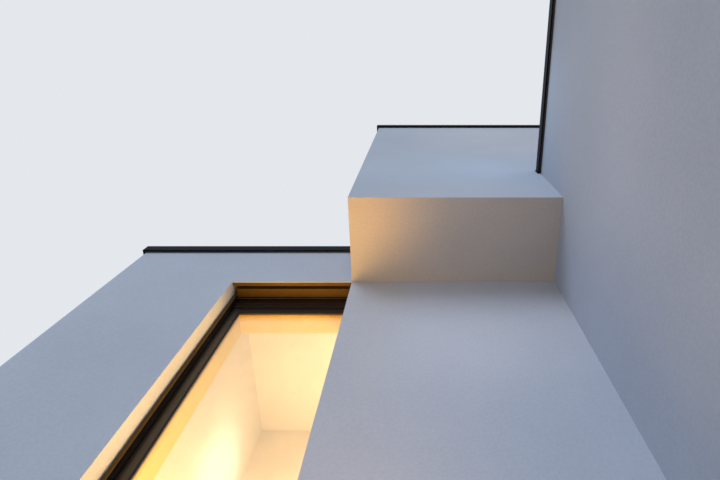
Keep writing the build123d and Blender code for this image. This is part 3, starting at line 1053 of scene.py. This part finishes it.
# Camera at the photograph's place: in front of the wall, looking steeply up
front_low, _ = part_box("front_wall")
SENSOR_WIDTH = 36.0
FOCAL_PIXELS = 519.5
PICTURE_WIDTH = 720
PRINCIPAL_POINT_X = 418.1
EYE_HEIGHT = 1.6
EYE_FROM_WALL = 1.976
EYE_FROM_CORNER = 2.717
LOOK_UP = math.radians(69.03)

camera_data = bpy.data.cameras.new("camera")
camera = bpy.data.objects.new("camera", camera_data)
bpy.context.scene.collection.objects.link(camera)
camera_data.sensor_width = SENSOR_WIDTH
camera_data.lens = SENSOR_WIDTH * FOCAL_PIXELS / PICTURE_WIDTH
camera_data.shift_x = (PICTURE_WIDTH / 2 - PRINCIPAL_POINT_X) / PICTURE_WIDTH
camera.location = (front_low.x + EYE_FROM_CORNER, front_low.y - EYE_FROM_WALL, EYE_HEIGHT)
camera.rotation_euler = (math.pi / 2 + LOOK_UP, 0, 0)
bpy.context.scene.camera = camera


# Light: an even sky, far soft lamps, the lit room, and evening light on the front
WARM = (1.0, 0.81, 0.52)
GLOW = (1.0, 0.52, 0.13)
DEEP = (1.0, 0.45, 0.1)
LAMP_RADIUS = 0.3


def add_lamp(name, kind, power, colour):
    """A lamp that shows neither to the camera nor in metal or glass."""
    data = bpy.data.lights.new(name, kind)
    data.energy = power
    data.color = colour
    lamp = bpy.data.objects.new(name, data)
    bpy.context.scene.collection.objects.link(lamp)
    lamp.visible_camera = False
    lamp.visible_glossy = False
    lamp.visible_transmission = False
    return lamp


def aim_lamp(lamp, place, aim):
    lamp.location = place
    lamp.rotation_euler = (Vector(aim) - Vector(place)).to_track_quat("-Z", "Y").to_euler()


def area_lamp(name, place, aim, size, power, colour, shape="RECTANGLE"):
    """A panel; its size is its width and its height."""
    lamp = add_lamp(name, "AREA", power, colour)
    lamp.data.shape = shape
    lamp.data.size, lamp.data.size_y = size
    aim_lamp(lamp, place, aim)
    return lamp


def spot_lamp(name, place, aim, cone, power, colour):
    """A soft-edged cone of light, given in degrees from edge to edge."""
    lamp = add_lamp(name, "SPOT", power, colour)
    lamp.data.spot_size = math.radians(cone)
    lamp.data.spot_blend = 1.0
    lamp.data.shadow_soft_size = LAMP_RADIUS
    aim_lamp(lamp, place, aim)


def sun_lamp(name, direction, strength, softness, colour):
    """A far lamp in the given direction: it lights the house and the whole floor evenly."""
    lamp = add_lamp(name, "SUN", strength, colour)
    lamp.data.angle = math.radians(softness)
    lamp.rotation_euler = Vector(direction).to_track_quat("Z", "Y").to_euler()


def light_world(strength):
    """A bluish sky that lights the house, and a pale backdrop for the camera and through glass."""
    world = bpy.data.worlds.new("studio")
    bpy.context.scene.world = world
    world.use_nodes = True
    tree = world.node_tree
    tree.nodes.clear()
    path = tree.nodes.new("ShaderNodeLightPath")
    sky = tree.nodes.new("ShaderNodeBackground")
    sky.inputs["Color"].default_value = (0.88, 0.95, 1.0, 1)
    sky.inputs["Strength"].default_value = strength
    backdrop = tree.nodes.new("ShaderNodeBackground")
    backdrop.inputs["Color"].default_value = srgb(228, 232, 237)
    backdrop.inputs["Strength"].default_value = 1.0
    seen = tree.nodes.new("ShaderNodeMath")
    seen.operation = "MAXIMUM"
    tree.links.new(path.outputs["Is Camera Ray"], seen.inputs[0])
    tree.links.new(path.outputs["Is Transmission Ray"], seen.inputs[1])
    mix = tree.nodes.new("ShaderNodeMixShader")
    out = tree.nodes.new("ShaderNodeOutputWorld")
    tree.links.new(seen.outputs[0], mix.inputs["Fac"])
    tree.links.new(sky.outputs[0], mix.inputs[1])
    tree.links.new(backdrop.outputs[0], mix.inputs[2])
    tree.links.new(mix.outputs[0], out.inputs["Surface"])


light_world(0.55)
sun_lamp("key", direction=(-8, -23, 13), strength=1.46, softness=32, colour=(0.96, 0.975, 1.0))
sun_lamp("fill", direction=(18, -14, 9), strength=0.28, softness=40, colour=(0.95, 0.97, 1.0))
sun_lamp("back", direction=(4, 24, 14), strength=1.0, softness=32, colour=(1.0, 1.0, 1.0))

# The lit room behind the tall window: lamps for its side wall, back wall, middle and floor
side_low, side_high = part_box("inner_side_wall")
back_low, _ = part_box("inner_back_wall")
room_floor = back_low.z
patch_y, patch_z = back_low.y - 0.4, room_floor + 1.6
area_lamp("wall_lamp", place=(side_high.x + 0.14, patch_y, patch_z), aim=(side_high.x, patch_y, patch_z),
          size=(0.8, 1.1), power=1.7, colour=(1.0, 0.98, 0.96), shape="ELLIPSE")
area_lamp("back_wash", place=(side_high.x + 1.1, back_low.y - 1.1, room_floor + 1.9),
          aim=(side_high.x + 0.9, back_low.y, room_floor + 2.1), size=(0.8, 0.8), power=6, colour=WARM)
room_lamp = add_lamp("room_lamp", "POINT", power=70, colour=WARM)
room_lamp.data.shadow_soft_size = LAMP_RADIUS
room_lamp.location = (side_high.x + 1.5, back_low.y - 0.75, room_floor + 0.9)
bounce_x, bounce_y = side_high.x + 0.47, side_low.y + 0.35
area_lamp("floor_bounce", place=(bounce_x, bounce_y, room_floor + 0.2),
          aim=(bounce_x, bounce_y, room_floor + 1.0), size=(0.6, 0.6), power=20, colour=DEEP)


def window_glow(name, window, power):
    """Light that leaves a bright room: a panel just outside the glass, facing out."""
    low, high = window.glass
    middle = window.origin + window.right * ((low.x + high.x) / 2) + UP * ((low.z + high.z) / 2)
    place = middle + window.out * (high.y + 2 * MM)
    glow = area_lamp(name, place, place + window.out, (high.x - low.x, high.z - low.z), power, GLOW)
    glow.visible_glossy = True


tall_window = max(
    (window for window in SIDE_OPENINGS["front"] if window.origin.x < side_high.x),
    key=lambda window: window.origin.z,
)
window_glow("tall_window_glow", tall_window, power=40)

# Evening light from below: on the soffit, its front left edge, and the wall under it
corner_low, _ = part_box("wing_side_wall")
soffit_z = soffit_low.z
glow_x, glow_y = soffit_low.x + 0.5, soffit_low.y + 0.1
edge_x = soffit_low.x + 0.03
bay_x = (entrance_low.x + entrance_high.x) / 2
spot_lamp("porch_glow", place=(glow_x + 0.2, glow_y, 0.3), aim=(glow_x + 0.5, glow_y, soffit_z),
          cone=44, power=170, colour=(1.0, 0.48, 0.1))
spot_lamp("soffit_wash", place=(edge_x, glow_y, soffit_z - 1.7), aim=(edge_x, glow_y, soffit_z),
          cone=44, power=102, colour=(1.0, 0.42, 0.1))
spot_lamp("garden_light", place=(bay_x, front_low.y - 4.25, 3.6), aim=(bay_x, front_low.y, 5.3),
          cone=38, power=135, colour=(1.0, 0.63, 0.28))
spot_lamp("entrance_light", place=(glow_x - 0.35, front_low.y - 1.3, 0.7),
          aim=(glow_x - 0.5, front_low.y, 3.55), cone=38, power=270, colour=DEEP)

# Fill for the corner between the third storey and the wing
area_lamp("corner_fill", place=(corner_low.x - 0.5, soffit_low.y - 0.9, soffit_z + 1.1),
          aim=(corner_low.x - 0.1, soffit_low.y, soffit_z + 0.5), size=(0.6, 0.6),
          power=1.6, colour=(0.6, 0.85, 1.0))
area_lamp("wing_fill", place=(corner_low.x - 1.5, front_low.y - 0.95, 4.7),
          aim=(corner_low.x, front_low.y - 0.95, 4.7), size=(1.2, 1.2),
          power=2.2, colour=(0.1, 0.42, 1.0))
spot_lamp("box_fill", place=(corner_low.x - 0.5, soffit_low.y - 5.0, 8.3),
          aim=(corner_low.x - 0.1, soffit_low.y, 8.4), cone=32, power=150, colour=(1.0, 0.6, 0.33))


def pale_floor():
    """A plain floor that reaches to the horizon."""
    mesh = bpy.data.meshes.new("floor")
    reach = 400.0
    corners = [(-reach, -reach, 0), (reach, -reach, 0), (reach, reach, 0), (-reach, reach, 0)]
    mesh.from_pydata(corners, [], [(0, 1, 2, 3)])
    floor = bpy.data.objects.new("floor", mesh)
    bpy.context.scene.collection.objects.link(floor)
    finish = Finish("studio_floor", roughness=0.9)
    grain = finish.noise(1.5, detail=3.0)
    finish.colour(finish.ramp(grain, (0.3, srgb(219, 206, 189)), (0.7, srgb(225, 212, 195))))
    mesh.materials.append(finish.material)


pale_floor()

bpy.context.scene.view_settings.view_transform = "Standard"
